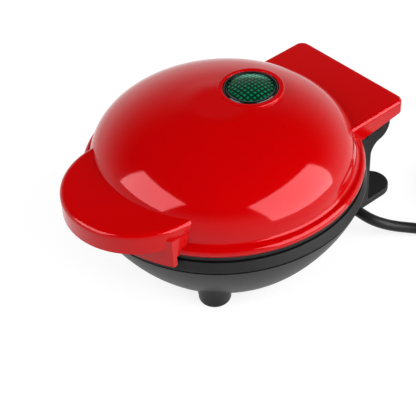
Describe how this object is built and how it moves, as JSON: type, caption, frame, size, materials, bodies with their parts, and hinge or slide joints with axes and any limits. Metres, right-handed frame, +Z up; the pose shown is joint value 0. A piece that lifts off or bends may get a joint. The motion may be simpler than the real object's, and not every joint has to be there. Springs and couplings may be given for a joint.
{
  "type": "mini waffle maker",
  "caption": "Round countertop waffle maker with a hinged domed lid, half-disc handle, gridded cooking plates and a short mains lead.",
  "frame": {"origin": "on the table under the middle of the cooking plates, centred between the handle's tip and the back of the stand", "axes": "+X to the right seen from the handle, +Y back towards the hinge, +Z up"},
  "size_m": [0.1736, 0.248, 0.079],
  "materials": {
    "red_gloss": "glossy moulded plastic",
    "black_satin": "satin moulded plastic with a fine texture",
    "nonstick": "die-cast aluminium with a dark non-stick coat",
    "steel": "plain steel",
    "rubber": "matt rubber",
    "lens_green": "clear green prismatic plastic",
    "lamp_glass": "clear glass",
    "cord_black": "smooth black cord jacket",
    "insulation": "pale heat-proof insulation",
    "brass_blade": "plated blades"
  },
  "bodies": {
    "base": {"base_bowl": "black_satin", "base_ring": "black_satin", "lower_grid_plate": "nonstick", "lower_heater": "steel", "lower_heat_shield": "steel", "thermostat": "insulation", "terminal_block": "insulation", "base_wires": "insulation", "hinge_pin": "steel", "front_foot_left": "rubber", "front_foot_right": "rubber", "rear_stand": "black_satin", "rear_pads": "rubber", "stand_screws": "steel", "base_screws": "steel", "strain_relief": "cord_black", "cord_lead": "cord_black", "cord_coil": "cord_black", "cord_tail": "cord_black", "plug_body": "cord_black", "plug_blades": "brass_blade"},
    "lid": {"lid_cover": "red_gloss", "lid_liner": "black_satin", "handle_underside": "black_satin", "upper_grid_plate": "nonstick", "upper_heater": "steel", "upper_heat_shield": "steel", "thermal_fuse": "insulation", "indicator_lens": "lens_green", "lens_bezel": "black_satin", "indicator_lamp": "lamp_glass", "lid_screws": "steel", "handle_screws": "steel", "upper_plate_screws": "steel"}
  },
  "joints": [
    {"name": "lid_hinge", "type": "hinge", "parent": "base", "child": "lid", "pos_m": [0, 0.0687, 0.0454], "axis": [-1, 0, 0], "range_deg": [0, 100]}
  ]
}
